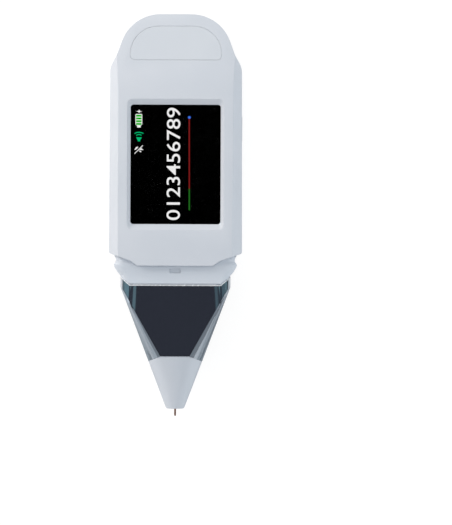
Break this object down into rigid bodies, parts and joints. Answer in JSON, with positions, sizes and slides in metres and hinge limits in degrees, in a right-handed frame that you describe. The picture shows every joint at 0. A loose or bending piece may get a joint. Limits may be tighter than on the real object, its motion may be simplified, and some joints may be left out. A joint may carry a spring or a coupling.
{
  "type": "diamond tester",
  "caption": "Handheld gem tester: flat case with a recessed screen, tapering grip with a dark inlaid panel, and a sprung needle in a nose cone.",
  "frame": {"origin": "middle of the footprint on the surface that the tester lies on, screen up", "axes": "+X to the right of the screen, +Y from the needle toward the head, +Z out of the screen"},
  "size_m": [0.055, 0.166, 0.026],
  "materials": {
    "case_plastic": "fine satin, cool white",
    "plate_plastic": "satin, a shade lighter than the case",
    "collar_plastic": "satin, cool white",
    "nose_plastic": "satin, cool white",
    "key_plastic": "satin, cool white",
    "lens": "clear and polished",
    "display": "black glass",
    "black_foam": "matt black foam",
    "flex_film": "amber film",
    "circuit_board": "green board laminate",
    "chip_resin": "black moulded resin",
    "inlet_steel": "plated steel",
    "battery_foil": "foil pouch",
    "speaker_black": "black",
    "screw_steel": "dark plated steel",
    "bright_chrome": "bright plating",
    "dark_gloss": "dark navy, glossy",
    "needle_copper": "worn copper",
    "probe_brass": "turned brass",
    "spring_steel": "spring wire",
    "guide_resin": "ivory resin"
  },
  "bodies": {
    "tester": {"front_shell": "case_plastic", "rear_shell": "case_plastic", "head_badge_plate": "plate_plastic", "screen_lens": "lens", "lens_seal": "black_foam", "display_module": "display", "display_flex": "flex_film", "main_board": "circuit_board", "processor": "chip_resin", "charging_inlet": "inlet_steel", "key_switch": "inlet_steel", "battery": "battery_foil", "battery_pad": "black_foam", "speaker": "speaker_black", "case_screw_1": "screw_steel", "case_screw_2": "screw_steel", "case_screw_3": "screw_steel", "case_screw_4": "screw_steel", "neck_collar": "collar_plastic", "contact_frame": "bright_chrome", "front_grip_panel": "dark_gloss", "rear_grip_panel": "dark_gloss", "nose_cone": "nose_plastic", "probe_spring": "spring_steel", "probe_barrel": "probe_brass", "barrel_plug": "guide_resin", "tip_guide": "guide_resin", "probe_board": "circuit_board", "probe_amplifier": "chip_resin", "probe_ribbon": "flex_film", "contact_leaf": "probe_brass"},
    "probe": {"probe_carrier": "probe_brass", "probe_needle": "needle_copper"},
    "key": {"power_key": "key_plastic", "switch_plunger": "chip_resin"}
  },
  "joints": [
    {"name": "probe_slide", "type": "slide", "parent": "tester", "child": "probe", "axis": [0, 1, 0], "range_m": [0, 0.0015], "stiffness_N_per_m": 400, "springref_m": -0.002, "deforming": ["probe_spring"]},
    {"name": "power_key_press", "type": "slide", "parent": "tester", "child": "key", "axis": [-1, 0, 0], "range_m": [0, 0.0004], "stiffness_N_per_m": 2000, "springref_m": -0.0003}
  ]
}
